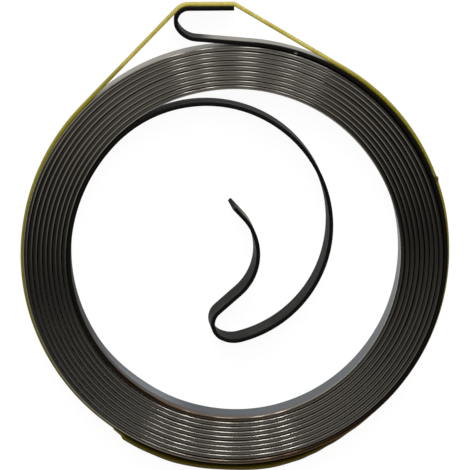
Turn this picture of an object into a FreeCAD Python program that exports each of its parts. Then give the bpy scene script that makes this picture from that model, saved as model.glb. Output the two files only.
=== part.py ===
"""Flat spiral spring of a pull starter, wound up and held by a stretched band.

Frame: the axis of the coil is Z, the lower edges of the strip lie in z = 0, and the outer hook points to +Y.
Both pieces are strips that follow a flat path: a chain of straight runs and arcs, each tangent to the last.
Lengths are in millimetres and angles in degrees. A path's radii are measured to the middle of the strip.
"""

import FreeCAD
import Part
import Sketcher

import math
import os

SIZES = {
    # the steel strip
    "strip_thickness": 0.55,
    "strip_width": 5.5,
    # the coil: how far its inner face is from the axis, the air between turns, and how often it goes round
    "coil_inner_radius": 25.0,
    "coil_gap": 0.19,
    "coil_turns": 9.855,
    # the inner tail, from where it leaves the coil to its free end
    "tail_angle": 137.3,
    "sweep_radius": 19.3,
    "sweep_turn": 107.3,
    "lower_sweep_radius": 18.3,
    "lower_sweep_turn": 105.9,
    "inner_lead_radius": 4.25,
    "inner_lead_turn": 39.9,
    "inner_hook_radius": 2.4,
    "inner_hook_turn": 112.7,
    "back_run": 4.45,
    "back_radius": 8.2,
    "back_turn": 91.7,
    "end_run": 2.8,
    "end_bevel_length": 0.8,
    "end_bevel_width": 4.5,
    # the outer hook, from where it leaves the coil to its free end
    "lower_arm_run": 8.5,
    "outer_lead_radius": 3.7,
    "outer_lead_turn": 51.0,
    "outer_hook_radius": 1.95,
    "outer_hook_turn": 124.0,
    "upper_arm_run": 6.9,
    # the band round the coil and over the outer hook
    "band_thickness": 0.45,
    "band_width": 2.0,
    "band_lift": 2.6,
    "band_clearance": 0.1,
}

FULL_TURN = 360
HALF_TURN = 180
RIGHT_ANGLE = 90

# sides to which a path bends
LEFT = 1
RIGHT = -1

# the ends of a sketch's line or arc, and the sketch's own origin
START = 1
END = 2
CENTRE = 3
ORIGIN = (-1, 1)

UP = FreeCAD.Vector(0, 0, 1)

# how close two points are that count as one
NEAR = 0.001

doc = FreeCAD.newDocument("recoil_starter_spring")

sheet = doc.addObject("Spreadsheet::Sheet", "Sizes")
for row, (name, value) in enumerate(SIZES.items(), start=1):
    sheet.set(f"A{row}", name)
    sheet.set(f"B{row}", str(value))
    sheet.setAlias(f"B{row}", name)
doc.recompute()


def size(name):
    """The value of one cell of the sheet."""
    return float(getattr(sheet, name))


def polar(distance, degrees):
    """The point at a distance from the origin, in a direction."""
    angle = math.radians(degrees)
    return FreeCAD.Vector(distance * math.cos(angle), distance * math.sin(angle), 0)


def direction(vector):
    """The direction of a vector, in degrees."""
    return math.degrees(math.atan2(vector.y, vector.x))


def new_body(label):
    body = doc.addObject("PartDesign::Body", label)
    body.Label = label
    body.Placement = FreeCAD.Placement()
    return body


def new_ground_sketch(body, name):
    """A sketch on the ground plane of a body."""
    sketch = body.newObject("Sketcher::SketchObject", name)
    ground = next(plane for plane in body.Origin.OriginFeatures if plane.Role == "XY_Plane")
    sketch.AttachmentSupport = [(ground, "")]
    sketch.MapMode = "FlatFace"
    return sketch


def bind(sketch, constraint, formula):
    """Adds a constraint, and ties its value to a formula on the sheet."""
    index = sketch.addConstraint(constraint)
    sketch.setExpression(f"Constraints[{index}]", formula)


def add_spoke(sketch):
    """A construction line from the axis, in the direction in which the tail leaves the coil."""
    length = coil_start_distance()
    line = Part.LineSegment(FreeCAD.Vector(), polar(length, size("tail_angle")))
    spoke = sketch.addGeometry(line, True)
    sketch.addConstraint(Sketcher.Constraint("Coincident", spoke, START, *ORIGIN))
    bind(sketch, Sketcher.Constraint("Distance", spoke, length), COIL_START_FORMULA)
    angle = math.radians(size("tail_angle"))
    bind(sketch, Sketcher.Constraint("Angle", spoke, angle), "Sizes.tail_angle")
    return spoke


# The coil is a chain of half turns about two centres, which lie a quarter of the pitch to each side of the axis.
# Each half turn is half a pitch larger than the last, so that the turns stand one pitch apart all round.
COIL_START_FORMULA = "Sizes.coil_inner_radius + Sizes.strip_thickness / 2"
PITCH_FORMULA = "(Sizes.strip_thickness + Sizes.coil_gap)"


def pitch():
    return size("strip_thickness") + size("coil_gap")


def coil_start_distance():
    return size("coil_inner_radius") + size("strip_thickness") / 2


def half_turns():
    """How many whole half turns the coil has."""
    return math.floor(2 * size("coil_turns"))


def coil_radius(number):
    """The radius of one half turn, counted from the inside."""
    return coil_start_distance() + (2 * number + 1) * pitch() / 4


def coil_radius_formula(number):
    return f"{COIL_START_FORMULA} + {2 * number + 1} * {PITCH_FORMULA} / 4"


def coil_centre(number):
    """The centre of one half turn."""
    side = -1 if number % 2 == 0 else 1
    return polar(side * pitch() / 4, size("tail_angle"))


class Path:
    """A chain of tangent runs and arcs in a sketch, drawn from a start point and a heading."""

    def __init__(self, sketch, start, heading, joined_to=None):
        self.sketch = sketch
        self.point = start
        self.heading = heading
        self.last_end = joined_to

    def join(self, index, near_end, far_end):
        """Makes a new piece of the chain tangent to the last one, where they meet."""
        if self.last_end is not None:
            self.sketch.addConstraint(Sketcher.Constraint("Tangent", *self.last_end, index, near_end))
        self.last_end = (index, far_end)
        return index

    def run(self, length):
        """A straight stretch."""
        start = self.point
        self.point = start + polar(length, self.heading)
        index = self.sketch.addGeometry(Part.LineSegment(start, self.point))
        return self.join(index, START, END)

    def arc(self, radius, turn, side):
        """A bend to one side, through an angle."""
        self.centre = self.point + polar(radius, self.heading + side * RIGHT_ANGLE)
        first = self.heading - side * RIGHT_ANGLE
        self.heading += side * turn
        last = self.heading - side * RIGHT_ANGLE
        self.point = self.centre + polar(radius, last)
        circle = Part.Circle(self.centre, UP, radius)
        ends = sorted((math.radians(first), math.radians(last)))
        index = self.sketch.addGeometry(Part.ArcOfCircle(circle, *ends))
        if side == LEFT:
            return self.join(index, START, END)
        return self.join(index, END, START)

    def sized_run(self, name):
        """A straight stretch whose length is on the sheet."""
        index = self.run(size(f"{name}_run"))
        constraint = Sketcher.Constraint("Distance", index, size(f"{name}_run"))
        bind(self.sketch, constraint, f"Sizes.{name}_run")

    def sized_arc(self, name, side):
        """A bend whose radius and turn are on the sheet."""
        radius = size(f"{name}_radius")
        turn = size(f"{name}_turn")
        index = self.arc(radius, turn, side)
        bind(self.sketch, Sketcher.Constraint("Radius", index, radius), f"Sizes.{name}_radius")
        bind(self.sketch, Sketcher.Constraint("Angle", index, math.radians(turn)), f"Sizes.{name}_turn")

    def half_turn_of_coil(self, number, turn, radius, radius_formula):
        """A bend about one of the coil's two centres."""
        index = self.arc(radius, turn, LEFT)
        bind(self.sketch, Sketcher.Constraint("Radius", index, radius), radius_formula)
        return index


def add_section(body, spine, edge, place_on_edge, thickness, width, lift):
    """An upright rectangle across a path, at the given height above the ground."""
    section = body.newObject("Sketcher::SketchObject", f"{body.Name}_section")
    section.AttachmentSupport = [(spine, edge)]
    section.MapMode = "NormalToEdge"
    section.MapPathParameter = place_on_edge
    left, right = -size(thickness) / 2, size(thickness) / 2
    low = size(lift) if lift else 0
    high = low + size(width)
    corners = [FreeCAD.Vector(x, y, 0) for x, y in ((left, low), (right, low), (right, high), (left, high))]
    for corner, following in zip(corners, corners[1:] + corners[:1]):
        section.addGeometry(Part.LineSegment(corner, following))
    bottom, right_side, top, left_side = range(4)
    for side, following in ((bottom, right_side), (right_side, top), (top, left_side), (left_side, bottom)):
        section.addConstraint(Sketcher.Constraint("Coincident", side, END, following, START))
    for side in (bottom, top):
        section.addConstraint(Sketcher.Constraint("Horizontal", side))
    for side in (right_side, left_side):
        section.addConstraint(Sketcher.Constraint("Vertical", side))
    bind(section, Sketcher.Constraint("Distance", bottom, right - left), f"Sizes.{thickness}")
    bind(section, Sketcher.Constraint("Distance", right_side, high - low), f"Sizes.{width}")
    half = Sketcher.Constraint("DistanceX", bottom, START, *ORIGIN, right)
    bind(section, half, f"Sizes.{thickness} / 2")
    if lift:
        height = Sketcher.Constraint("DistanceY", *ORIGIN, bottom, START, low)
        bind(section, height, f"Sizes.{lift}")
    else:
        section.addConstraint(Sketcher.Constraint("PointOnObject", bottom, START, -1))
    return section


def sweep(body, spine, section):
    """Draws a section along a path, kept upright all the way."""
    pipe = body.newObject("PartDesign::AdditivePipe", f"{body.Name}_sweep")
    pipe.Profile = section
    pipe.Spine = (spine, [])
    pipe.Mode = "Binormal"
    pipe.Binormal = UP
    doc.recompute()
    return pipe


def edge_at(shape, point):
    """The edge of a path that has an end at a point, and which of its two ends that is."""
    for number, edge in enumerate(shape.Edges, start=1):
        for place, vertex in enumerate((edge.Vertexes[0], edge.Vertexes[-1])):
            if vertex.Point.distanceToPoint(point) < NEAR:
                return f"Edge{number}", place
    raise ValueError("no end of the path lies there")


def cross_edge(shape, point, height):
    """The straight edge across a strip, at the strip's end and at a height."""
    for number, edge in enumerate(shape.Edges, start=1):
        middle = edge.CenterOfMass
        if middle.distanceToPoint(point + UP * height) < NEAR:
            return f"Edge{number}"
    raise ValueError("no edge lies there")


def tangent_heading(centre, radius, next_centre, next_radius):
    """The heading of the straight run from one left-hand bend to the next."""
    across = next_centre - centre
    return direction(across) + math.degrees(math.asin((radius - next_radius) / across.Length))


# The spring: tail, coil and outer hook are one strip
spring = new_body("spring_strip")
route = new_ground_sketch(spring, "strip_route")
spoke = add_spoke(route)
coil_start = polar(coil_start_distance(), size("tail_angle"))

outward = Path(route, coil_start, size("tail_angle") + RIGHT_ANGLE)
last_number = half_turns()
last_turn = FULL_TURN * size("coil_turns") - HALF_TURN * last_number
for number in range(last_number + 1):
    turn = HALF_TURN if number < last_number else last_turn
    index = outward.half_turn_of_coil(number, turn, coil_radius(number), coil_radius_formula(number))
    angle = Sketcher.Constraint("Angle", index, math.radians(turn))
    if number < last_number:
        route.addConstraint(angle)
    else:
        bind(route, angle, f"{FULL_TURN} * Sizes.coil_turns - {HALF_TURN} * {last_number}")
    if number == 0:
        first_half_turn = index
        route.addConstraint(Sketcher.Constraint("Coincident", index, START, spoke, END))
        route.addConstraint(Sketcher.Constraint("PointOnObject", index, CENTRE, spoke))
outward.sized_run("lower_arm")
outward.sized_arc("outer_lead", RIGHT)
outward.sized_arc("outer_hook", RIGHT)
hook_centre = outward.centre
outward.sized_run("upper_arm")

inward = Path(route, coil_start, size("tail_angle") - RIGHT_ANGLE, (first_half_turn, START))
inward.sized_arc("sweep", RIGHT)
inward.sized_arc("lower_sweep", RIGHT)
inward.sized_arc("inner_lead", RIGHT)
inward.sized_arc("inner_hook", RIGHT)
inward.sized_run("back")
inward.sized_arc("back", LEFT)
inward.sized_run("end")
doc.recompute()

tail_edge, tail_place = edge_at(route.Shape, inward.point)
strip_section = add_section(spring, route, tail_edge, tail_place, "strip_thickness", "strip_width", None)
strip = sweep(spring, route, strip_section)

bevel = spring.newObject("PartDesign::Chamfer", "tail_bevel")
bevel.Base = (strip, [cross_edge(strip.Shape, inward.point, size("strip_width"))])
bevel.ChamferType = "Two distances"
bevel.setExpression("Size", "Sizes.end_bevel_width")
bevel.setExpression("Size2", "Sizes.end_bevel_length")
doc.recompute()

# The band: a closed loop that hugs the last turn and crosses the outer hook
COVER_FORMULA = "Sizes.strip_thickness / 2 + Sizes.band_clearance + Sizes.band_thickness / 2"


def cover():
    """From the middle of the strip to the middle of the band that lies on it."""
    return size("strip_thickness") / 2 + size("band_clearance") + size("band_thickness") / 2


coil_end_angle = size("tail_angle") + FULL_TURN * size("coil_turns")
hook_radius = size("outer_hook_radius") + cover()
corner_radius = size("band_clearance") + size("band_thickness") / 2
arm_corner = outward.point + polar(size("strip_thickness") / 2, outward.heading + RIGHT_ANGLE)


def touch_down(heading_on_coil):
    """The half turn on which the band meets the last turn of the coil, the heading there, and the angle."""
    for number in range(last_number, -1, -1):
        heading = heading_on_coil(number)
        angle = coil_end_angle - (coil_end_angle - heading + RIGHT_ANGLE) % FULL_TURN
        if angle >= size("tail_angle") + HALF_TURN * number:
            return number, heading, angle
    raise ValueError("the band misses the coil")


def heading_from_hook(number):
    return tangent_heading(hook_centre, hook_radius, coil_centre(number), coil_radius(number) + cover())


def heading_to_corner(number):
    return tangent_heading(coil_centre(number), coil_radius(number) + cover(), arm_corner, corner_radius)


band = new_body("retaining_band")
loop = new_ground_sketch(band, "band_route")
spoke = add_spoke(loop)

first_number, down_heading, down_angle = touch_down(heading_from_hook)
leaving_number, up_heading, up_angle = touch_down(heading_to_corner)
band_start = coil_centre(first_number) + polar(coil_radius(first_number) + cover(), down_angle)
round_trip = Path(loop, band_start, down_heading)
angle = down_angle
for number in range(first_number, leaving_number + 1):
    piece_end = min(size("tail_angle") + HALF_TURN * (number + 1), up_angle)
    radius = coil_radius(number) + cover()
    formula = f"{coil_radius_formula(number)} + {COVER_FORMULA}"
    index = round_trip.half_turn_of_coil(number, piece_end - angle, radius, formula)
    angle = piece_end
    if number == first_number:
        first_piece = index
        loop.addConstraint(Sketcher.Constraint("PointOnObject", index, CENTRE, spoke))
        offset = Sketcher.Constraint("Distance", index, CENTRE, *ORIGIN, pitch() / 4)
        bind(loop, offset, f"{PITCH_FORMULA} / 4")
    elif number == first_number + 1:
        loop.addConstraint(Sketcher.Constraint("PointOnObject", index, CENTRE, spoke))
    if first_number < number < leaving_number:
        loop.addConstraint(Sketcher.Constraint("Angle", index, math.radians(HALF_TURN)))


def place_centre(index, point):
    """Fixes the centre of a bend of the band where the outer hook is."""
    loop.addConstraint(Sketcher.Constraint("DistanceX", *ORIGIN, index, CENTRE, point.x))
    loop.addConstraint(Sketcher.Constraint("DistanceY", *ORIGIN, index, CENTRE, point.y))


def run_to(point):
    return round_trip.run(round_trip.point.distanceToPoint(point))


def bend_to(heading, radius, formula):
    index = round_trip.arc(radius, (heading - round_trip.heading) % FULL_TURN, LEFT)
    bind(loop, Sketcher.Constraint("Radius", index, radius), formula)
    return index


back_heading = outward.heading + HALF_TURN
run_to(arm_corner + polar(corner_radius, up_heading - RIGHT_ANGLE))
corner = bend_to(back_heading, corner_radius, "Sizes.band_clearance + Sizes.band_thickness / 2")
place_centre(corner, arm_corner)
run_to(hook_centre + polar(hook_radius, back_heading - RIGHT_ANGLE))
over_hook = bend_to(down_heading, hook_radius, f"Sizes.outer_hook_radius + {COVER_FORMULA}")
place_centre(over_hook, hook_centre)
run_to(band_start)
loop.addConstraint(Sketcher.Constraint("Tangent", *round_trip.last_end, first_piece, START))
doc.recompute()

band_section = add_section(band, loop, "Edge1", 0, "band_thickness", "band_width", "band_lift")
ribbon = sweep(band, loop, band_section)
sub_parts = [spring, band]
for item in doc.Objects:
    if {"Invalid", "Error"} & set(item.State):
        raise RuntimeError(f"{item.Label} did not build: {item.State}")
for piece in sub_parts:
    if piece.Shape.isNull() or not piece.Shape.isValid() or len(piece.Shape.Solids) != 1:
        raise RuntimeError(f"{piece.Label} is not one good solid")

os.makedirs("parts", exist_ok=True)
for piece in sub_parts:
    piece.Shape.exportStep(f"parts/{piece.Label}.step")
    box = piece.Shape.BoundBox
    print(f"{piece.Label}: {piece.Shape.Volume:.0f} mm3, {box.XLength:.2f} x {box.YLength:.2f} x {box.ZLength:.2f} mm")
print(f"length of the strip: {route.Shape.Length:.0f} mm")
print(f"length of the band: {loop.Shape.Length:.0f} mm")
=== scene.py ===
# %% [markdown]
# A recoil starter spring is one long strip of spring steel, wound on itself and held wound by a rubber band.
# This lesson dresses the packed model of it: the strip and the band are swept again with rounded edges, and
# both get finishes made from nodes. Heights and widths come from the frame, and the path repeats the bends
# of the solid. What only an eye can judge, such as colours, slight leans and lamps, is fitted to a photo.

import math
from types import SimpleNamespace

import bpy
from mathutils import Matrix, Vector
from mathutils.geometry import convex_hull_2d


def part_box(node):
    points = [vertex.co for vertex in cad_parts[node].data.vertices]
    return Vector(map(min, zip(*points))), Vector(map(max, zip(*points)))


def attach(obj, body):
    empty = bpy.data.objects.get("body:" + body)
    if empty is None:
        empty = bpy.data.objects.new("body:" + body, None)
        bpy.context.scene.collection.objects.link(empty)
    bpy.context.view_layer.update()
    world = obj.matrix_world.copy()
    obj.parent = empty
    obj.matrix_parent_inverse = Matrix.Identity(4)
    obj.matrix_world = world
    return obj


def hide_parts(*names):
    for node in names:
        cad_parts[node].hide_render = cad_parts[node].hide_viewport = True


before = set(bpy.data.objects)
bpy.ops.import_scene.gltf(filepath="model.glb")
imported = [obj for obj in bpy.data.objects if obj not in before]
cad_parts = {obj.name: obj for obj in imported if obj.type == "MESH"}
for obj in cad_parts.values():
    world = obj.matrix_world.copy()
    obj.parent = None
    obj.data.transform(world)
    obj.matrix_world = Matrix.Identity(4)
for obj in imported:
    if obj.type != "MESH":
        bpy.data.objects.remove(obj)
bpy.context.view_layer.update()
MM = 0.001

# %% [markdown]
# Two nodes make up the whole object. The strip lies on its lower edges, so its height is its width, and the
# band lies a little way up. Both facts could be typed in again, but a number kept in two places goes wrong
# sooner or later, so they are read from the frame.

# %% Heights from the frame
strip_low, strip_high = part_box("spring_strip")
band_low, band_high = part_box("retaining_band")
STRIP_WIDTH = strip_high.z - strip_low.z
BAND_WIDTH = band_high.z - band_low.z
BAND_MIDDLE = (band_low.z + band_high.z) / 2
print("strip width, mm:", round(STRIP_WIDTH / MM, 3), " band width, mm:", round(BAND_WIDTH / MM, 3))

# %% [markdown]
# The strip's path is a chain of arcs and short straight runs, each tangent to the last, as a bending machine
# makes it. It could be a list of points, but a list of bends is easier to read and to change, so the path is
# kept as bends and the points are worked out from them. A bend to the left is positive. The steps are short
# enough that no chord leaves its arc by more than two thousandths of a millimetre.

# %% Turn bends into points
CHORD_ERROR = 0.002 * MM
LONGEST_STEP = 1.2 * MM


def polar(distance, angle):
    """The point at a distance from the origin, in a direction."""
    return Vector((distance * math.cos(angle), distance * math.sin(angle), 0))


def bend(radius_mm, degrees):
    """One arc of a path: its radius, and how far it turns."""
    return (radius_mm * MM, math.radians(degrees))


def run(length_mm):
    """One straight stretch of a path."""
    return (None, length_mm * MM)


def follow(start, heading, pieces):
    """The points along a chain of bends and runs, close enough together to look smooth."""
    points = [start]
    for radius, amount in pieces:
        if radius is None:
            steps = max(1, math.ceil(amount / LONGEST_STEP))
            for _ in range(steps):
                points.append(points[-1] + polar(amount / steps, heading))
            continue
        side = math.copysign(1, amount)
        step = min(2 * math.acos(1 - CHORD_ERROR / radius), LONGEST_STEP / radius)
        steps = max(2, math.ceil(abs(amount) / step))
        centre = points[-1] + polar(radius, heading + side * math.pi / 2)
        first = heading - side * math.pi / 2
        for number in range(1, steps + 1):
            points.append(centre + polar(radius, first + amount * number / steps))
        heading += amount
    return points


quarter_bend = follow(Vector((0, 0, 0)), 0.0, [bend(2.4, 90)])
print("points on a quarter bend of 2.4 mm radius:", len(quarter_bend))

# %% [markdown]
# The coil follows a rule. A true spiral grows all the time, but arcs are simpler and look the same: each
# half turn is an arc half a pitch larger than the one before, about two centres a quarter of the pitch to
# each side of the axis. The outer hook leads on from its last turn. The tail leaves its first turn the other
# way and ends in the inner hook and a short curved back.

# %% Work out the strip's path
STRIP_THICKNESS = 0.55 * MM
COIL_INNER_RADIUS = 25.0 * MM
COIL_GAP = 0.19 * MM
COIL_TURNS = 9.855
TAIL_ANGLE = math.radians(137.3)
PITCH = STRIP_THICKNESS + COIL_GAP
COIL_START = COIL_INNER_RADIUS + STRIP_THICKNESS / 2

half_turns = math.floor(2 * COIL_TURNS)
coil = [(COIL_START + (2 * n + 1) * PITCH / 4, math.pi) for n in range(half_turns)]
last_arc = 2 * math.pi * COIL_TURNS - half_turns * math.pi
coil.append((COIL_START + (2 * half_turns + 1) * PITCH / 4, last_arc))
outer_hook = [run(8.5), bend(3.7, -51.0), bend(1.95, -124.0), run(6.9)]
tail = [bend(19.3, -107.3), bend(18.3, -105.9), bend(4.25, -39.9), bend(2.4, -112.7),
        run(4.45), bend(8.2, 91.7), run(2.8)]

coil_start = polar(COIL_START, TAIL_ANGLE)
coil_points = follow(coil_start, TAIL_ANGLE + math.pi / 2, coil + outer_hook)
tail_points = follow(coil_start, TAIL_ANGLE - math.pi / 2, tail)
strip_path = tail_points[::-1] + coil_points[1:]
strip_length = sum((b - a).length for a, b in zip(strip_path, strip_path[1:]))
print("points on the strip's path:", len(strip_path), " its length, mm:", round(strip_length / MM))

# %% [markdown]
# Node trees are clearer when their maths reads like maths. Value wraps a socket, and each operator on it
# adds one Math node, also when the number stands first, as in 1 - mask. Made lets a node's outputs be
# picked, and Maker adds any other node from its type, its settings and what its sockets get. The same three
# classes serve Geometry Nodes and shaders.


# %% A small language for node trees
class Value:
    """A socket that Python's operators work on."""

    def __init__(self, maker, socket):
        self.maker = maker
        self.socket = socket

    def __add__(self, other):
        return self.maker.math("ADD", self, other)

    def __sub__(self, other):
        return self.maker.math("SUBTRACT", self, other)

    def __rsub__(self, other):
        return self.maker.math("SUBTRACT", other, self)

    def __mul__(self, other):
        return self.maker.math("MULTIPLY", self, other)

    def __abs__(self):
        return self.maker.math("ABSOLUTE", self)

    def clamp(self):
        return self.maker.add("ShaderNodeClamp", {}, {0: self})[0]

    __radd__ = __add__
    __rmul__ = __mul__


class Made:
    """A node whose outputs are picked by name or number."""

    def __init__(self, maker, node):
        self.maker = maker
        self.node = node

    def __getitem__(self, name):
        return Value(self.maker, self.node.outputs[name])


class Maker:
    """Adds nodes to one tree."""

    def __init__(self, tree):
        self.tree = tree

    def add(self, kind, settings=None, sockets=None):
        node = self.tree.nodes.new(kind)
        for name, value in (settings or {}).items():
            setattr(node, name, value)
        for name, value in (sockets or {}).items():
            if isinstance(value, Value):
                self.tree.links.new(value.socket, node.inputs[name])
            else:
                node.inputs[name].default_value = value
        return Made(self, node)

    def math(self, operation, a, b=0.0):
        return self.add("ShaderNodeMath", {"operation": operation}, {0: a, 1: b})[0]

    def vector(self, operation, sockets):
        return self.add("ShaderNodeVectorMath", {"operation": operation}, sockets)

    def smooth(self, value, low, high):
        """0 below low, 1 above high, and an easy slope between."""
        settings = {"interpolation_type": "SMOOTHSTEP"}
        sockets = {"Value": value, "From Min": low, "From Max": high}
        return self.add("ShaderNodeMapRange", settings, sockets)["Result"]

    def noise(self, place, detail):
        """A soft noise from 0 to 1, read at a place that is already scaled."""
        return self.add("ShaderNodeTexNoise", {}, {"Vector": place, "Scale": 1.0, "Detail": detail})[0]

    def xyz(self, x=0.0, y=0.0, z=0.0):
        return self.add("ShaderNodeCombineXYZ", {}, {"X": x, "Y": y, "Z": z})["Vector"]

    def mix(self, factor, a, b):
        """A colour between two colours."""
        colour_a, colour_b, colour_out = 6, 7, 2
        sockets = {0: factor, colour_a: a, colour_b: b}
        return self.add("ShaderNodeMix", {"data_type": "RGBA"}, sockets)[colour_out]


print("what a Maker can do:", [name for name in vars(Maker) if not name.startswith("_")])

# %% [markdown]
# Real strip is slit and rolled, so its section is a rectangle with rounded corners. The corners are what
# catches the light on a coil, so they are modelled and not left to a shader. A Bevel modifier could round a
# swept rectangle, but on two metres of strip a rounded section is simpler. An extra point beside each
# corner, on the broad faces, keeps those faces flat when they are smooth shaded. In the solid the strip has
# its real thickness and its gaps are all the same. The gaps of a real coil look narrower from above, because
# its turns touch here and there, so this section is a tenth thicker than the strip.

# %% Draw the strip's section
EDGE_FULLNESS = 1.10
STRIP_CORNER = 0.21 * MM
STRIP_CORNER_STEPS = 6
CORNER_SUPPORT = 0.08 * MM


def rounded_section(name, thickness, width, corner, steps):
    """A closed curve: a rectangle, thickness across and width tall, with rounded and supported corners."""
    points = []
    across, up = thickness / 2 - corner, width / 2 - corner
    for quarter, (x, y) in enumerate(((across, up), (-across, up), (-across, -up), (across, -up))):
        first = quarter * math.pi / 2
        arc = [Vector((x, y, 0)) + polar(corner, first + math.pi / 2 * n / steps) for n in range(steps + 1)]
        before = arc[0] - polar(CORNER_SUPPORT, first + math.pi / 2)
        after = arc[-1] + polar(CORNER_SUPPORT, first + math.pi)
        if quarter % 2 == 0:
            points += [before] + arc
        else:
            points += arc + [after]
    curve = bpy.data.curves.new(name, "CURVE")
    curve.dimensions = "3D"
    spline = curve.splines.new("POLY")
    spline.points.add(len(points) - 1)
    for target, point in zip(spline.points, points):
        target.co = (*point, 1)
    spline.use_cyclic_u = True
    section = bpy.data.objects.new(name, curve)
    print(name, "has", len(points), "points")
    return section


strip_section = rounded_section("strip_section", STRIP_THICKNESS * EDGE_FULLNESS, STRIP_WIDTH, STRIP_CORNER,
                                STRIP_CORNER_STEPS)

# %% [markdown]
# Real turns never lie quite evenly. Points could be shaken at random, but that looks torn, while a noise
# read along the path changes slowly. One noise serves three uses when it is read at three places far apart.
# It has a seed as an input, so the same seed always gives the same strip.

# %% Read a noise along a path
NOISES_APART = 100.0
NOISE_DETAIL = 2.0
SIDEWAYS_NOISE, LIFT_NOISE, TILT_NOISE = 0, 1, 2


def path_noise(maker, given, along, which):
    """A number between -1 and 1 that changes slowly along the path."""
    place = along * given["Noise per metre"] + given["Seed"] + which * NOISES_APART
    sample = maker.add("ShaderNodeTexNoise", {"noise_dimensions": "1D"},
                       {"W": place, "Scale": 1.0, "Detail": NOISE_DETAIL})
    return (sample[0] - 0.5) * 2.0


print("the three noises are read", NOISES_APART, "apart")

# %% [markdown]
# One Geometry Nodes tree sweeps both pieces. Curve to Mesh carries the section along the path, and Z Up
# keeps it upright. Before that, the noise moves the path from side to side and up and down, and tilts the
# section. The distance along the path and the place across the section are stored as attributes, so that a
# finish can change along the strip and tell its inner side from its outer side.

# %% Build the sweeping tree
TREE_INPUTS = (("Geometry", "NodeSocketGeometry"), ("Section", "NodeSocketObject"),
               ("Height", "NodeSocketFloat"), ("Wander", "NodeSocketFloat"), ("Wave", "NodeSocketFloat"),
               ("Lean", "NodeSocketFloat"), ("Noise per metre", "NodeSocketFloat"),
               ("Seed", "NodeSocketFloat"), ("Material", "NodeSocketMaterial"))
UP = (0.0, 0.0, 1.0)


def stored(maker, geometry, name, value):
    """The geometry with a number stored on each of its points."""
    return maker.add("GeometryNodeStoreNamedAttribute", {"data_type": "FLOAT", "domain": "POINT"},
                     {"Geometry": geometry, "Name": name, "Value": value})["Geometry"]


def sweeping_tree():
    """The tree that turns a path into a swept strip."""
    tree = bpy.data.node_groups.new("sweep_strip", "GeometryNodeTree")
    names = {}
    for name, kind in TREE_INPUTS:
        names[name] = tree.interface.new_socket(name, in_out="INPUT", socket_type=kind).identifier
    tree.interface.new_socket("Geometry", in_out="OUTPUT", socket_type="NodeSocketGeometry")
    maker = Maker(tree)
    given = maker.add("NodeGroupInput")
    along = maker.add("GeometryNodeSplineParameter")["Length"]
    path = stored(maker, given["Geometry"], "along", along)
    upright = maker.add("GeometryNodeSetCurveNormal", {"mode": "Z_UP"}, {"Curve": path})["Curve"]
    tangent = maker.add("GeometryNodeInputTangent")["Tangent"]
    side = maker.vector("CROSS_PRODUCT", {0: tangent, 1: UP})[0]
    wander = path_noise(maker, given, along, SIDEWAYS_NOISE) * given["Wander"]
    sideways = maker.vector("SCALE", {0: side, "Scale": wander})[0]
    lift = given["Height"] + path_noise(maker, given, along, LIFT_NOISE) * given["Wave"]
    offset = maker.vector("ADD", {0: sideways, 1: maker.xyz(z=lift)})[0]
    moved = maker.add("GeometryNodeSetPosition", {}, {"Geometry": upright, "Offset": offset})["Geometry"]
    lean = path_noise(maker, given, along, TILT_NOISE) * given["Lean"]
    tilt = maker.add("GeometryNodeInputCurveTilt")["Tilt"] + lean
    leaned = maker.add("GeometryNodeSetCurveTilt", {}, {"Curve": moved, "Tilt": tilt})["Curve"]
    section = maker.add("GeometryNodeObjectInfo", {}, {"Object": given["Section"]})["Geometry"]
    place = maker.add("GeometryNodeInputPosition")["Position"]
    across = maker.add("ShaderNodeSeparateXYZ", {}, {0: place})["X"]
    section = stored(maker, section, "across", across)
    swept = maker.add("GeometryNodeCurveToMesh", {},
                      {"Curve": leaned, "Profile Curve": section, "Fill Caps": True})["Mesh"]
    real = maker.add("GeometryNodeRealizeInstances", {}, {"Geometry": swept})["Geometry"]
    finished = maker.add("GeometryNodeSetMaterial", {},
                         {"Geometry": real, "Material": given["Material"]})["Geometry"]
    maker.add("NodeGroupOutput", {}, {"Geometry": finished})
    return tree, names


sweep_tree, sweep_inputs = sweeping_tree()
print("nodes in the sweeping tree:", len(sweep_tree.nodes))

# %% [markdown]
# The path goes in as a poly curve with one point per step. A Python loop over the inputs sets each one by
# its socket's identifier, because the names are only for people. The result is taken as a plain mesh from
# the evaluated object, and the modifier goes away with the curve. Faces that meet at a sharp angle, as at a
# cut end, are marked so that smooth shading stops there.

# %% Sweep a path into a mesh
SHARP_ANGLE = math.radians(40)


def sweep(name, points, section, tilts=None, cyclic=False, **inputs):
    """A mesh object: the section carried along the points. The last names are the tree's other inputs."""
    curve = bpy.data.curves.new(name + "_path", "CURVE")
    curve.dimensions = "3D"
    spline = curve.splines.new("POLY")
    spline.points.add(len(points) - 1)
    for number, point in enumerate(points):
        spline.points[number].co = (*point, 1)
        spline.points[number].tilt = tilts[number] if tilts else 0.0
    spline.use_cyclic_u = cyclic
    path = bpy.data.objects.new(name + "_path", curve)
    bpy.context.scene.collection.objects.link(path)
    modifier = path.modifiers.new("sweep", "NODES")
    modifier.node_group = sweep_tree
    modifier[sweep_inputs["Section"]] = section
    for label, value in inputs.items():
        modifier[sweep_inputs[label.replace("_", " ").capitalize()]] = value
    evaluated = path.evaluated_get(bpy.context.evaluated_depsgraph_get())
    mesh = bpy.data.meshes.new_from_object(evaluated)
    path.modifiers.remove(modifier)
    bpy.data.objects.remove(path)
    mesh.name = name
    mesh.shade_smooth()
    mesh.set_sharp_from_angle(angle=SHARP_ANGLE)
    piece = bpy.data.objects.new(name, mesh)
    bpy.context.scene.collection.objects.link(piece)
    print(name, "has", len(mesh.polygons), "faces")
    return piece


print("shading stops at edges sharper than", round(math.degrees(SHARP_ANGLE)), "degrees")

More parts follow.
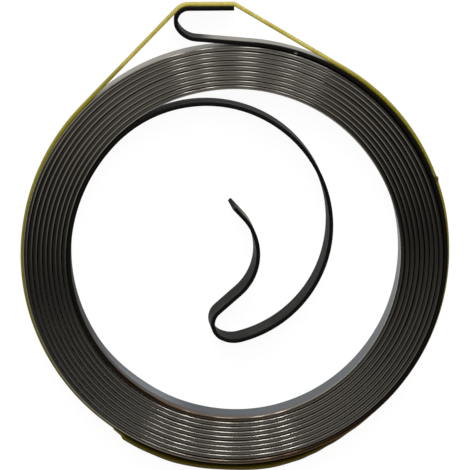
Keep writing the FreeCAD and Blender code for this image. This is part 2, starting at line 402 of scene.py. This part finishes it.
# %% [markdown]
# Spring steel is rolled bright and warm grey. Heat turns it brown and then matt black, and on the edges the
# brown is worn to a lighter one. Each colour gets a name here, as on a palette. A shader's numbers are
# linear light, which is why they are smaller than the ones that a picture editor shows.

# %% Name the steel's colours
INNER_EDGE = (0.73, 0.69, 0.61, 1)
OUTER_EDGE = (0.365, 0.345, 0.305, 1)
SCORED_STEEL = (0.82, 0.73, 0.64, 1)
OUTER_FACE = (0.31, 0.285, 0.165, 1)
# painted shade: the inner faces are far darker than the outer ones, standing in for the dimmer floor they
# mirror inside the coil
SHADED_INNER_FACE = (0.075, 0.095, 0.11, 1)
# painted light: the coil's inner wall on the left is paler, where the room would mirror dark
LIT_INNER_FACE_LEFT = (0.62, 0.67, 0.76, 1)
HEAT_BROWN = (0.085, 0.038, 0.011, 1)
EDGE_BROWN = (0.24, 0.13, 0.055, 1)
OXIDE_BLACK = (0.009, 0.008, 0.007, 1)
OXIDE_GREY = (0.034, 0.034, 0.031, 1)
# partly a painted highlight: pale scuffs near the free end, also lightened for the light they catch
SCUFFED_AND_HIGHLIT = (0.20, 0.21, 0.145, 1)


def new_material(name):
    """An empty material, and the Maker for its tree."""
    material = bpy.data.materials.new(name)
    material.use_nodes = True
    tree = material.node_tree
    tree.nodes.clear()
    return material, Maker(tree)


steel, steel_maker = new_material("spring_steel")
print("an empty material for the strip:", steel.name)

# %% [markdown]
# A finish changes from place to place, so it first has to know where a point lies: how far along the strip,
# at what height, on an edge or a face, on the inner or the outer side. Rolling leaves fine grooves
# lengthwise, which here are a noise stretched along the strip. A second, coarser noise gives patches. An
# image could hold all this, but it would need unwrapping two metres of strip, while the stored attributes
# cost nothing.

# %% Find the places on the strip
EDGE_BEGINS = 0.32 * MM
EDGE_IS_FULL = 0.15 * MM
SIDES_BLEND = 0.1 * MM
GROOVES_ALONG = 60.0
GROOVES_ACROSS = 9000.0
GROOVE_DETAIL = 3.0
PATCHES_ALONG = 110.0
PATCHES_UP = 300.0
PATCH_DETAIL = 4.0


def strip_places(maker):
    """What the finish has to know about a point on the strip, each as a value."""
    along = maker.add("ShaderNodeAttribute", {"attribute_name": "along"})["Fac"]
    across = maker.add("ShaderNodeAttribute", {"attribute_name": "across"})["Fac"]
    place = maker.add("ShaderNodeTexCoord")["Object"]
    parts = maker.add("ShaderNodeSeparateXYZ", {}, {0: place})
    height = parts["Z"]
    middle = STRIP_WIDTH / 2
    in_grooves = maker.xyz(along * GROOVES_ALONG, height * GROOVES_ACROSS, across * GROOVES_ACROSS)
    in_patches = maker.xyz(along * PATCHES_ALONG, height * PATCHES_UP, 0.0)
    return SimpleNamespace(
        along=along, from_hook=strip_length - along, place=place, x=parts["X"], y=parts["Y"], height=height,
        edge=maker.smooth(abs(height - middle), middle - EDGE_BEGINS, middle - EDGE_IS_FULL),
        outward=maker.smooth(across, -SIDES_BLEND, SIDES_BLEND),
        grooves=maker.noise(in_grooves, GROOVE_DETAIL),
        patches=maker.noise(in_patches, PATCH_DETAIL))


at = strip_places(steel_maker)
print("values known about a point on the strip:", list(vars(at)))

# %% [markdown]
# Both ends are annealed so that the hooks can be bent. Away from each end the steel goes from matt black
# through brown to bright, over a few centimetres and with an uneven border. Each pair below says between
# which distances from the end a colour fades. From the hook's long arm on, the black is rubbed off the outer
# side, and one small spot on that arm's edge is bare.

# %% Mask the heated ends
TAIL_BLACK_FADES = (120 * MM, 165 * MM)
TAIL_BROWN_FADES = (140 * MM, 185 * MM)
HOOK_BLACK_FADES = (88 * MM, 125 * MM)
HOOK_BROWN_FADES = (108 * MM, 145 * MM)
BORDER_WOBBLE = 15 * MM
RUBBED_PAST_TIP = (14.5 * MM, 17.5 * MM)
RUBBED_BELOW_TOP = (0.5 * MM, 1.2 * MM)
BARE_SPOT = polar(32.45 * MM, math.radians(73.4)) + Vector((0, 0, STRIP_WIDTH))
BARE_SPOT_FADES = (0.15 * MM, 0.35 * MM)


def heated(maker, tail_fades, hook_fades):
    """1 at both ends of the strip and 0 between them."""
    wobble = (at.patches - 0.5) * BORDER_WOBBLE
    past_tail = maker.smooth(at.along + wobble, *tail_fades)
    past_hook = maker.smooth(at.from_hook + wobble, *hook_fades)
    return (2 - past_tail - past_hook).clamp()


def heat_masks(maker):
    """How brown and how black the steel is."""
    from_spot = maker.vector("DISTANCE", {0: at.place, 1: BARE_SPOT})["Value"]
    off_spot = maker.smooth(from_spot, *BARE_SPOT_FADES)
    in_outer_half = maker.smooth(at.along, strip_length / 3, strip_length / 2)
    past_tip = maker.smooth(at.from_hook, *RUBBED_PAST_TIP)
    below_top = maker.smooth(STRIP_WIDTH - at.height, *RUBBED_BELOW_TOP)
    rubbed = at.outward * in_outer_half * past_tip * below_top
    brown = heated(maker, TAIL_BROWN_FADES, HOOK_BROWN_FADES) * off_spot
    black = heated(maker, TAIL_BLACK_FADES, HOOK_BLACK_FADES) * off_spot * (1 - rubbed)
    return brown, black


brown, black = heat_masks(steel_maker)
print("nodes in the steel finish so far:", len(steel.node_tree.nodes))

# %% [markdown]
# The bare colour is mixed in layers, as a painter would: faces first, with the inner faces far darker than
# the outer ones as painted shade and the brown near their upper edge, then the worn edges, then the dark of
# the grooves. On the left the coil's inner wall would mirror dark, so there it gets painted light: a paler
# and less metallic colour of its own.

# %% Colour the bare steel
LEFT_WALL_LIGHT_FADES = (5 * MM, 18 * MM)
BROWN_BELOW_TOP = (STRIP_WIDTH - 2.3 * MM, STRIP_WIDTH - 1.4 * MM)
GROOVES_DARKEN_FROM = 0.35
GROOVES_DARKEN_BY = 0.7

on_face = 1 - at.edge
# painted light: the inner wall on the left gets a paler, less metallic colour
lit_left_wall = steel_maker.smooth(0 - at.x, *LEFT_WALL_LIGHT_FADES) * on_face * (1 - at.outward)


def bare_colour(maker):
    """The colour of the steel where no oxide covers it."""
    # painted shade on the inner faces, paled by painted light on the left wall
    inner_face = maker.mix(lit_left_wall, SHADED_INNER_FACE, LIT_INNER_FACE_LEFT)
    near_top = maker.smooth(at.height, *BROWN_BELOW_TOP)
    browned = maker.mix(near_top * brown, inner_face, HEAT_BROWN)
    face = maker.mix(at.outward, browned, OUTER_FACE)
    worn = maker.mix(at.outward, INNER_EDGE, OUTER_EDGE)
    colour = maker.mix(at.edge, face, maker.mix(brown, worn, EDGE_BROWN))
    in_groove = ((at.grooves - GROOVES_DARKEN_FROM) * GROOVES_DARKEN_BY).clamp()
    return maker.mix(in_groove, colour, SHADED_INNER_FACE)


bare = bare_colour(steel_maker)
print("nodes in the steel finish so far:", len(steel.node_tree.nodes))

# %% [markdown]
# Rolled metal spreads a reflection across its grooves, which a Principled shader calls anisotropic. Two
# lobes are mixed: a sharp one for the polish and a broad one for the glints of countless scratches on the
# edges, which are stronger beyond the middle, towards the hook. A Bump node would roughen the metal in every
# direction. Here the normal is turned a little towards and away from the axis, across the grooves and never
# along them, so the glints stay fine lines.

# %% Make the bare metal
EDGE_TINT = (0.5, 0.5, 0.5, 1)
QUARTER_TURN = 0.25
SCORE_DEPTH = 0.03
POLISH_ROUGHNESS = 0.17
OUTER_SIDE_SMOOTHER = 0.04
GROOVES_ROUGHER = 0.05
PATCHES_ROUGHER = 0.04
FACES_LESS_METALLIC = 0.45
LEFT_WALL_LIGHT_LESS_METALLIC = 0.45
GLINT_ROUGHNESS = 0.28
GLINTS_SCORED = 0.5
LEAST_GLINT = 0.18
MOST_GLINT = 0.45
GLINTS_GROW = (5 * MM, 25 * MM)


def scored_normal(maker):
    """The surface's normal, turned to and fro across the grooves."""
    radial = maker.vector("NORMALIZE", {0: maker.xyz(at.x, at.y, 0.0)})[0]
    turn = maker.vector("SCALE", {0: radial, "Scale": (at.grooves - 0.5) * SCORE_DEPTH})[0]
    normal = maker.add("ShaderNodeNewGeometry")["Normal"]
    return maker.vector("NORMALIZE", {0: maker.vector("ADD", {0: normal, 1: turn})[0]})[0]


def bare_metal(maker):
    """The shader of the steel where no oxide covers it."""
    roughness = (POLISH_ROUGHNESS - at.outward * OUTER_SIDE_SMOOTHER + at.grooves * GROOVES_ROUGHER
                 + at.patches * PATCHES_ROUGHER)
    polish = maker.add("ShaderNodeBsdfPrincipled", {},
                       {"Base Color": bare, "Roughness": roughness,
                        "Metallic": 1.0 - on_face * FACES_LESS_METALLIC - lit_left_wall * LEFT_WALL_LIGHT_LESS_METALLIC,
                        "Specular Tint": EDGE_TINT, "Anisotropic": 0.95,
                        "Anisotropic Rotation": QUARTER_TURN, "Normal": scored_normal(maker)})
    glint_colour = maker.mix((1 - brown) * GLINTS_SCORED, bare, SCORED_STEEL)
    glints = maker.add("ShaderNodeBsdfPrincipled", {},
                       {"Base Color": glint_colour, "Roughness": GLINT_ROUGHNESS, "Metallic": 1.0,
                        "Specular Tint": EDGE_TINT, "Anisotropic": 1.0,
                        "Anisotropic Rotation": QUARTER_TURN})
    share = LEAST_GLINT + maker.smooth(at.y, *GLINTS_GROW) * (MOST_GLINT - LEAST_GLINT)
    lobes = {0: at.edge * share, 1: polish["BSDF"], 2: glints["BSDF"]}
    return maker.add("ShaderNodeMixShader", {}, lobes)[0]


metal = bare_metal(steel_maker)
print("nodes in the steel finish so far:", len(steel.node_tree.nodes))

# %% [markdown]
# Oxide is a thin matt skin, so it is a second shader and not only a dark colour: it has almost no gloss. Its
# faces are mottled from black to a dark grey, and just behind the free end they are scuffed paler, a pale
# patch that is partly a painted highlight. The mask of the heated ends then picks between metal and oxide
# with a Mix
# Shader.

# %% Add the oxide
GREY_PATCHES = (0.45, 0.62)
SCUFF_AND_HIGHLIGHT_PATCHES = (0.35, 0.5)
SCUFF_AND_HIGHLIGHT_BEGIN = (1 * MM, 3 * MM)
SCUFF_AND_HIGHLIGHT_END = (7 * MM, 11 * MM)
OXIDE_ROUGHNESS = 0.45
OXIDE_PATCHES_ROUGHER = 0.15
OXIDE_GLOSS = 0.02


def oxide_skin(maker):
    """The shader of the oxide."""
    # scuffs near the free end, partly a painted highlight
    near_tip = on_face * maker.smooth(at.along, *SCUFF_AND_HIGHLIGHT_BEGIN) * (1 - maker.smooth(at.along, *SCUFF_AND_HIGHLIGHT_END))
    colour = maker.mix(on_face * maker.smooth(at.patches, *GREY_PATCHES), OXIDE_BLACK, OXIDE_GREY)
    colour = maker.mix(near_tip * maker.smooth(at.patches, *SCUFF_AND_HIGHLIGHT_PATCHES), colour, SCUFFED_AND_HIGHLIT)
    roughness = OXIDE_ROUGHNESS + at.patches * OXIDE_PATCHES_ROUGHER
    skin = maker.add("ShaderNodeBsdfPrincipled", {},
                     {"Base Color": colour, "Roughness": roughness, "Specular IOR Level": OXIDE_GLOSS})
    return skin["BSDF"]


oxide = oxide_skin(steel_maker)
metal_and_oxide = steel_maker.add("ShaderNodeMixShader", {}, {0: black, 1: metal, 2: oxide})[0]
steel_maker.add("ShaderNodeOutputMaterial", {}, {"Surface": metal_and_oxide})
print("nodes in the steel finish:", len(steel.node_tree.nodes))

# %% [markdown]
# Now the strip is swept. It wanders by about a hundredth of a millimetre and leans by up to two degrees.
# That breaks the evenness but is little enough that no turn touches the next. It doesn't wave up and down,
# because it rests on its edges.

# %% Make the strip
spring_strip = sweep("spring_strip_rounded", strip_path, strip_section, Height=STRIP_WIDTH / 2,
                     Wander=0.012 * MM, Wave=0.0, Lean=math.radians(2.0), Noise_per_metre=28.0, Seed=3.0,
                     Material=steel)

# %% [markdown]
# The free tail isn't held upright as the turns are: it leans, so that more of its inner side shows. Its
# lower edge is moved over by a fraction of a millimetre, fading out towards the coil. The very end is cut
# off at a slant, which is done by moving only the vertices of the end cap, the more the higher they are.

# %% Lean the tail and cut its end
TAIL_LEAN = Vector((-0.40, 0.24, 0)) * MM
LEAN_GROWS_TO = 15 * MM
LEAN_FADES_FROM = 50 * MM
LEAN_ENDS_AT = 82 * MM
BEVEL_LENGTH = 0.8 * MM
BEVEL_WIDTH = 4.5 * MM
END_CAP = 0.01 * MM


def ease(value, low, high):
    """0 below low, 1 above high, and an easy slope between."""
    share = min(1.0, max(0.0, (value - low) / (high - low)))
    return share * share * (3 - 2 * share)


end_heading = (strip_path[1] - strip_path[0]).normalized()
strip_vertices = spring_strip.data.vertices
distances = [item.value for item in spring_strip.data.attributes["along"].data]
cut_vertices = 0
for vertex, distance in zip(strip_vertices, distances):
    if distance > LEAN_ENDS_AT:
        continue
    share = ease(distance, -LEAN_GROWS_TO, LEAN_GROWS_TO)
    share *= 1 - ease(distance, LEAN_FADES_FROM, LEAN_ENDS_AT)
    height = vertex.co.z
    vertex.co += TAIL_LEAN * share * (1 - height / STRIP_WIDTH)
    if distance < END_CAP:
        rise = max(0.0, height - (STRIP_WIDTH - BEVEL_WIDTH)) / BEVEL_WIDTH
        vertex.co += end_heading * BEVEL_LENGTH * rise
        cut_vertices += 1
print("vertices moved by the slanted cut:", cut_vertices)

# %% [markdown]
# The first turn of the coil has nothing inside it to lean on, so below and on the right it leans inwards and
# shows its inner wall as a grey crescent. Each pair is a distance along the strip and how far the lower edge
# is moved inwards there, both in millimetres, and between the pairs the lean is eased.

# %% Lean the first turn
FIRST_TURN_LEAN = ((118, 0.0), (131, 0.12), (142, 0.42), (150, 0.38), (165, 0.25), (190, 0.25), (214, 0.0))

leaned_vertices = 0
for vertex, distance in zip(strip_vertices, distances):
    for (near, lean), (far, next_lean) in zip(FIRST_TURN_LEAN, FIRST_TURN_LEAN[1:]):
        if near * MM < distance <= far * MM:
            lean += (next_lean - lean) * ease(distance, near * MM, far * MM)
            inward = -Vector((vertex.co.x, vertex.co.y, 0)).normalized()
            vertex.co += inward * lean * MM * (1 - vertex.co.z / STRIP_WIDTH)
            leaned_vertices += 1
print("vertices moved by the first turn's lean:", leaned_vertices)

# %% [markdown]
# A stretched band takes the shortest way round, and the shortest loop round a shape is its convex hull. So
# the band's path is the hull of the strip's outer faces, each point swollen by the clearance and half the
# band. Tangent lines could be worked out by hand, but the hull finds them wherever the hook stands. Long
# straight stretches get extra points, so that the band can be shaped along them.

# %% Work out the band's path
BAND_THICKNESS = 0.51 * MM
BAND_CLEARANCE = 0.04 * MM
SWELL_STEPS = 48
TURNS_KEPT = 1.5
BAND_STEP = 0.35 * MM


def side_step(a, b):
    """From the middle of the strip to its face, where the path runs from a to b."""
    return (b - a).normalized().cross(Vector(UP)) * STRIP_THICKNESS / 2


def even_steps(corners, longest):
    """The same closed loop, with extra points on its long straight stretches."""
    points = []
    for a, b in zip(corners, corners[1:] + corners[:1]):
        steps = max(1, math.ceil((b - a).length / longest))
        points += [a.lerp(b, n / steps) for n in range(steps)]
    return points


reach = BAND_CLEARANCE + BAND_THICKNESS / 2
swell = [polar(reach, 2 * math.pi * n / SWELL_STEPS) for n in range(SWELL_STEPS)]
outer_part = [p for p in strip_path if p.length > COIL_START + (COIL_TURNS - TURNS_KEPT) * PITCH]
faces = []
for before, here, after in zip(outer_part, outer_part[1:], outer_part[2:]):
    side = side_step(before, after)
    faces += [here + side, here - side]
last_side = side_step(outer_part[-2], outer_part[-1])
faces += [outer_part[-1] + last_side, outer_part[-1] - last_side]
cloud = [(face + step).xy for face in faces for step in swell]
hull = even_steps([cloud[index] for index in convex_hull_2d(cloud)], BAND_STEP)
print("points on the band's path:", len(hull))

# %% [markdown]
# A real band doesn't lie flat all the way round. Below, it has rolled, so that its lower edge stands off the
# coil and its outer side shows. On the right it is pulled thin and has slid down, and at one place there it
# is nicked. Sculpting this would be slow to change, so it is a table of a few directions round the axis,
# eased between: each row is degrees, roll in degrees, share of the thickness, and drop in millimetres.

# %% Shape the band
BAND_SHAPE = (
    (0, 0, 0.55, 1.0), (18, 0, 0.75, 0.6), (19.8, 0, 0.80, 0.5), (20.4, 0, 1.15, 0.5), (21.0, 0, 0.80, 0.5),
    (45, 0, 1.0, 0.0), (120, 0, 1.0, 0.0), (180, 0, 0.85, 0.0), (228, 0, 0.75, 0.0), (235, 2, 0.6, 0.0),
    (236, 6, 0.75, 0.0), (238, 8, 0.9, 0.0), (239.5, 20, 1.0, 0.0), (246, 23, 1.0, 0.0),
    (254, 28, 1.0, 0.0), (260, 25, 1.0, 0.0), (267, 21, 1.0, 0.0), (279, 27, 1.0, 0.0),
    (287, 20, 1.0, 0.0), (291, 13, 1.0, 0.0), (296, 6, 0.9, 0.1), (303, 2, 0.7, 0.4), (312, 0, 0.55, 0.8),
    (360, 0, 0.55, 1.0))


def band_shape(place):
    """The band's roll, share of thickness and drop in one direction from the axis."""
    degrees = math.degrees(math.atan2(place.y, place.x)) % 360
    for low, high in zip(BAND_SHAPE, BAND_SHAPE[1:]):
        if degrees <= high[0]:
            share = ease(degrees, low[0], high[0])
            roll, thick, drop = (a + (b - a) * share for a, b in zip(low[1:], high[1:]))
            return math.radians(roll), thick, drop * MM


band_path = []
band_rolls = []
for place in hull:
    roll, _, drop = band_shape(place)
    stand_off = BAND_WIDTH / 2 * math.sin(roll) + BAND_THICKNESS / 2 * (math.cos(roll) - 1)
    moved = place + place.normalized() * stand_off
    band_path.append(Vector((moved.x, moved.y, -drop)))
    band_rolls.append(roll)
print("largest roll, degrees:", round(math.degrees(max(band_rolls)), 1))

# %% [markdown]
# The band is plain yellow rubber, a little see-through, dull and dusty. Its free stretches beside the hook
# are bright. Where it lies on the coil it is painted darker, a painted shade for the steel behind it, and
# below it is painted nearly black, a painted shade where it faces away from the light. These are layers of
# mixes again, each with a border that a soft noise makes uneven. A little subsurface gives the depth of
# rubber, and a faint bump breaks up its gloss.

# %% Finish the rubber
RUBBER_LIGHT = (0.69, 0.61, 0.13, 1)
RUBBER_DARK = (0.52, 0.41, 0.04, 1)
# painted shade: darker where the band lies on the coil's steel
RUBBER_SHADED_ON_COIL = (0.32, 0.285, 0.010, 1)
# painted shade: nearly black below, where the band faces away from the light
RUBBER_SHADED_BELOW = (0.11, 0.075, 0.001, 1)
RUBBER_NICKED = (0.10, 0.05, 0.005, 1)
RUBBER_PATCHES_ALONG = 260.0
RUBBER_PATCHES_UP = 900.0
RUBBER_PATCH_DETAIL = 4.0
RUBBER_PATCHES = (0.3, 0.75)
RUBBER_BORDER_WOBBLE = 3 * MM
SHADE_ON_COIL_BEGINS = (-31 * MM, -27 * MM)
SHADE_BELOW_BEGINS = (25.5 * MM, 30 * MM)
SHADE_BELOW_SHARE = 0.93
NICK = polar(33.1 * MM, math.radians(20.4)) + Vector((0, 0, BAND_MIDDLE + BAND_WIDTH / 2))
NICK_FADES = (0.9 * MM, 0.5 * MM)
GRAIN_SCALE = 5000.0
GRAIN_DETAIL = 3.0
GRAIN_BUMP = {"Strength": 0.3, "Distance": 0.05 * MM}
RUBBER_ROUGHNESS = 0.42
GRAIN_ROUGHER = 0.2


def rubber_finish():
    """The band's material."""
    material, maker = new_material("band_rubber")
    along = maker.add("ShaderNodeAttribute", {"attribute_name": "along"})["Fac"]
    place = maker.add("ShaderNodeTexCoord")["Object"]
    parts = maker.add("ShaderNodeSeparateXYZ", {}, {0: place})
    in_patches = maker.xyz(along * RUBBER_PATCHES_ALONG, parts["Z"] * RUBBER_PATCHES_UP, 0.0)
    patches = maker.noise(in_patches, RUBBER_PATCH_DETAIL)
    grain = maker.add("ShaderNodeTexNoise", {},
                      {"Vector": place, "Scale": GRAIN_SCALE, "Detail": GRAIN_DETAIL})[0]
    colour = maker.mix(maker.smooth(patches, *RUBBER_PATCHES), RUBBER_LIGHT, RUBBER_DARK)
    below = 0 - parts["Y"] + (patches - 0.5) * RUBBER_BORDER_WOBBLE
    # painted shade where the band lies on the coil
    colour = maker.mix(maker.smooth(below, *SHADE_ON_COIL_BEGINS), colour, RUBBER_SHADED_ON_COIL)
    # painted shade: nearly black below, where the band faces away from the light
    colour = maker.mix(maker.smooth(below, *SHADE_BELOW_BEGINS) * SHADE_BELOW_SHARE, colour, RUBBER_SHADED_BELOW)
    from_nick = maker.vector("DISTANCE", {0: place, 1: NICK})["Value"]
    colour = maker.mix(maker.smooth(from_nick, *NICK_FADES), colour, RUBBER_NICKED)
    bump = maker.add("ShaderNodeBump", {}, {"Height": grain, **GRAIN_BUMP})["Normal"]
    surface = maker.add("ShaderNodeBsdfPrincipled", {},
                        {"Base Color": colour, "Roughness": RUBBER_ROUGHNESS + grain * GRAIN_ROUGHER,
                         "Normal": bump, "Subsurface Weight": 0.25, "Subsurface Scale": 0.5 * MM})
    maker.add("ShaderNodeOutputMaterial", {}, {"Surface": surface["BSDF"]})
    return material


rubber = rubber_finish()
print("nodes in the rubber finish:", len(rubber.node_tree.nodes))

# %% [markdown]
# The band goes through the same tree as the strip, as a closed loop whose tilts are the rolls. It waves up
# and down by a few hundredths of a millimetre. Where it is thin, the difference is then taken off its outer
# side, vertex by vertex, so that it still lies close to the coil. A narrower section would have left it
# floating.

# %% Make the band
BAND_CORNER = 0.15 * MM
BAND_CORNER_STEPS = 3

band_section = rounded_section("band_section", BAND_THICKNESS, BAND_WIDTH, BAND_CORNER, BAND_CORNER_STEPS)
retaining_band = sweep("retaining_band_rounded", band_path, band_section, tilts=band_rolls, cyclic=True,
                       Height=BAND_MIDDLE, Wander=0.0, Wave=0.05 * MM, Lean=0.0, Noise_per_metre=60.0,
                       Seed=11.0, Material=rubber)

offsets = retaining_band.data.attributes["across"].data
for vertex, across in zip(retaining_band.data.vertices, offsets):
    _, thick, _ = band_shape(vertex.co)
    outward = Vector((vertex.co.x, vertex.co.y, 0)).normalized()
    vertex.co -= outward * (across.value + BAND_THICKNESS / 2) * (1 - thick)
print("the band's box, mm:", [round(x / MM, 2) for x in retaining_band.dimensions])

# %% [markdown]
# Both pieces stand for their packed nodes and ride on the one body, because neither the spring nor its band
# has a joint.

# %% Hand the pieces to the frame
for piece, node, slot in ((spring_strip, "spring_strip", "spring_steel"),
                          (retaining_band, "retaining_band", "band_rubber")):
    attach(piece, "root")
    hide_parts(node)
    print(piece.name, "stands for", node)

# %% [markdown]
# The floor is a plain white sheet. More light would also make it white, but it would bleach the steel.
# Instead Light Path lets the camera, and what the metal mirrors, see it glow, while the lamps still throw
# the spring's soft shadow on it. Between the first turn and the last it doesn't glow: a painted shade, so
# that the narrow gaps of the coil stay dark. The border of that ring follows the spiral: it steps out by one
# pitch in each turn.

# %% Lay the floor
FLOOR_HALF_SIDE = 1.0
BLACK = (0, 0, 0, 1)
WHITE = (1, 1, 1, 1)
FLOOR_GREY = (0.14, 0.14, 0.14, 1)
FLOOR_GLOW = 0.95
HOOK_ANGLE = math.radians(86)
FIRST_TURN_AT = (25.15 * MM, 25.35 * MM)
LAST_TURN_AT = (32.02 * MM, 32.2 * MM)
FULL_TURN = 2 * math.pi


def floor_finish():
    """The floor's material: matt grey to the lamps, and glowing white to the camera."""
    material, maker = new_material("white_floor")
    path = maker.add("ShaderNodeLightPath")
    seen = (path["Is Camera Ray"] + path["Is Glossy Ray"] + path["Is Transmission Ray"]).clamp()
    place = maker.add("ShaderNodeTexCoord")["Object"]
    parts = maker.add("ShaderNodeSeparateXYZ", {}, {0: place})
    from_axis = maker.vector("LENGTH", {0: maker.xyz(parts["X"], parts["Y"], 0.0)})["Value"]
    turned = maker.math("ARCTAN2", parts["Y"], parts["X"]) * (1 / FULL_TURN)
    from_start = from_axis - maker.math("FRACT", turned - TAIL_ANGLE / FULL_TURN) * PITCH
    from_end = from_axis - maker.math("FRACT", turned - HOOK_ANGLE / FULL_TURN) * PITCH
    past_first = maker.smooth(from_start, *FIRST_TURN_AT)
    past_last = maker.smooth(from_end, *LAST_TURN_AT)
    # painted shade: no glow in the ring under the coil, so the gaps between its turns stay dark
    glow_colour = maker.mix(seen * (1 - past_first + past_last) * FLOOR_GLOW, BLACK, WHITE)
    matt = maker.add("ShaderNodeBsdfDiffuse", {}, {"Color": FLOOR_GREY})
    glow = maker.add("ShaderNodeEmission", {}, {"Color": glow_colour, "Strength": 1.0})
    both = maker.add("ShaderNodeAddShader", {}, {0: matt["BSDF"], 1: glow["Emission"]})
    maker.add("ShaderNodeOutputMaterial", {}, {"Surface": both[0]})
    return material


corners = [(x * FLOOR_HALF_SIDE, y * FLOOR_HALF_SIDE, strip_low.z)
           for x, y in ((-1, -1), (1, -1), (1, 1), (-1, 1))]
floor_mesh = bpy.data.meshes.new("floor")
floor_mesh.from_pydata(corners, [], [(0, 1, 2, 3)])
floor_mesh.materials.append(floor_finish())
floor = bpy.data.objects.new("floor", floor_mesh)
bpy.context.scene.collection.objects.link(floor)
print("nodes in the floor's finish:", len(floor_mesh.materials[0].node_tree.nodes))

# %% [markdown]
# The room is dim overhead and to the left and right, and bright low down beyond the hook, as in a light tent
# with one open side. Opposite is a weaker glow, dimmer in the middle than to either side. Steel shows what
# it mirrors, so this is what shades the turns from black to grey. A studio photo could be the background,
# but a few masks on the direction do the same and can be turned up and down.

# %% Light the room
OPEN_SIDE = Vector((-0.12, 0.99, 0.0))
ROOM_LIGHT = (1.0, 0.98, 0.94, 1)
FRONT_GROWS = (0.30, 1.10)
REAR_GROWS = (0.10, 0.9)
REAR_SIDES_GROW = (0.12, 0.5)
OVERHEAD_LEVEL = 0.022
FRONT_LEVEL = 0.58
REAR_LEVEL = 0.47
REAR_MIDDLE = 0.7
REAR_SIDES_EXTRA = 0.35

world = bpy.data.worlds.new("studio")
bpy.context.scene.world = world
world.use_nodes = True
world.node_tree.nodes.clear()
room = Maker(world.node_tree)
direction = room.add("ShaderNodeTexCoord")["Generated"]
along_room = room.vector("DOT_PRODUCT", {0: direction, 1: OPEN_SIDE})["Value"]
front = room.smooth(along_room, *FRONT_GROWS)
rear = room.smooth(0 - along_room, *REAR_GROWS)
aside = room.add("ShaderNodeSeparateXYZ", {}, {0: direction})["X"]
rear_share = REAR_MIDDLE + room.smooth(abs(aside), *REAR_SIDES_GROW) * REAR_SIDES_EXTRA
level = OVERHEAD_LEVEL + front * FRONT_LEVEL + rear * rear_share * REAR_LEVEL
room_colour = room.mix(level, BLACK, ROOM_LIGHT)
background = room.add("ShaderNodeBackground", {}, {"Color": room_colour, "Strength": 1.0})
room.add("ShaderNodeOutputWorld", {}, {"Surface": background[0]})
print("nodes in the room's light:", len(world.node_tree.nodes))

# %% [markdown]
# Area lamps are given here by radiance, the brightness of their surface, because that is what metal mirrors:
# a larger lamp then looks larger and not dimmer. One wide lamp fills in the matt surfaces. Metal would
# mirror it as a pale square, so it is hidden from reflections.

# %% Make area lamps
FILL_TOWARDS = Vector((0.0, 0.68, 0.73)).normalized()
FILL_DISTANCE = 0.8
FILL_SIZE = 0.8
FILL_RADIANCE = 2.3


def area_lamp(name, towards, distance, side, width, height, radiance, glossy=True):
    """A rectangular lamp facing the spring: its width runs along side, its height across it."""
    data = bpy.data.lights.new(name, "AREA")
    data.shape = "RECTANGLE"
    data.size = width
    data.size_y = height
    data.energy = radiance * math.pi * width * height
    lamp = bpy.data.objects.new(name, data)
    bpy.context.scene.collection.objects.link(lamp)
    across = side.normalized()
    axes = Matrix((across, towards.cross(across).normalized(), towards)).transposed()
    lamp.matrix_world = Matrix.Translation(towards * distance) @ axes.to_4x4()
    lamp.visible_camera = False
    lamp.visible_glossy = glossy
    print(name, "gives", round(data.energy, 3), "W")


area_lamp("front_fill", FILL_TOWARDS, FILL_DISTANCE, Vector((1, 0, 0)), FILL_SIZE, FILL_SIZE, FILL_RADIANCE,
          glossy=False)

# %% [markdown]
# Five tall, narrow lamps stand beyond the hook. A rounded edge mirrors each of them only where the edge
# faces it, so every turn lights up at the same angle, and the lights line up into streaks across the coil.
# Placing them by trial would take long, so each place is worked out: it is the camera's direction mirrored
# in the edge. Each row is the streak's angle round the axis and how wide the lamp looks from the spring,
# both in degrees, and its radiance. A wider and dimmer lamp gives a smoother streak than a narrow and bright
# one.

# %% Place the streak lamps
CAMERA_TILT = math.radians(9.5)
CAMERA_DIRECTION = Vector((-0.02, math.sin(CAMERA_TILT), math.cos(CAMERA_TILT))).normalized()
STREAKS = ((64, 2.4, 3.7), (72, 2.4, 5.1), (85, 4.6, 3.5), (98, 2.4, 5.6), (106.2, 2.2, 5.8))
EDGE_LEAN = math.radians(42)
LAMP_DISTANCE = 0.7
LAMP_HEIGHT = 0.8

for degrees, spread, radiance in STREAKS:
    facing = polar(math.sin(EDGE_LEAN), math.radians(degrees)) + Vector((0, 0, math.cos(EDGE_LEAN)))
    towards = 2 * facing.dot(CAMERA_DIRECTION) * facing - CAMERA_DIRECTION
    side = CAMERA_DIRECTION.cross(facing)
    width = LAMP_DISTANCE * math.radians(spread)
    area_lamp(f"streak_{round(degrees)}", towards, LAMP_DISTANCE, side, width, LAMP_HEIGHT, radiance)

# %% [markdown]
# The camera looks down from far off through a long lens, a little from the hook's side. Its distance, tilt
# and lens come from how the coil's circles shift between their upper and lower edges. The view transform is
# set to Standard, so that a colour renders about as it is written.

# %% Set the camera
CAMERA_DISTANCE = 0.733
PICTURE_PIXELS = 470
PIXELS_PER_MM = 6.55
SENSOR_MM = 36.0
AIM = Vector((0.046 * MM, 3.2 * MM, STRIP_WIDTH))

camera_x = Vector((0, 1, 0)).cross(CAMERA_DIRECTION).normalized()
camera_y = CAMERA_DIRECTION.cross(camera_x)
camera_data = bpy.data.cameras.new("camera")
camera_data.sensor_width = SENSOR_MM
camera_data.lens = SENSOR_MM * CAMERA_DISTANCE / (PICTURE_PIXELS / PIXELS_PER_MM * MM)
camera = bpy.data.objects.new("camera", camera_data)
bpy.context.scene.collection.objects.link(camera)
axes = Matrix((camera_x, camera_y, CAMERA_DIRECTION)).transposed()
camera.matrix_world = Matrix.Translation(AIM + CAMERA_DIRECTION * CAMERA_DISTANCE) @ axes.to_4x4()
bpy.context.scene.camera = camera
bpy.context.scene.view_settings.view_transform = "Standard"
print("lens, mm:", round(camera_data.lens, 1))

# %% [markdown]
# The dressed spring has to fill the same box as the packed one.
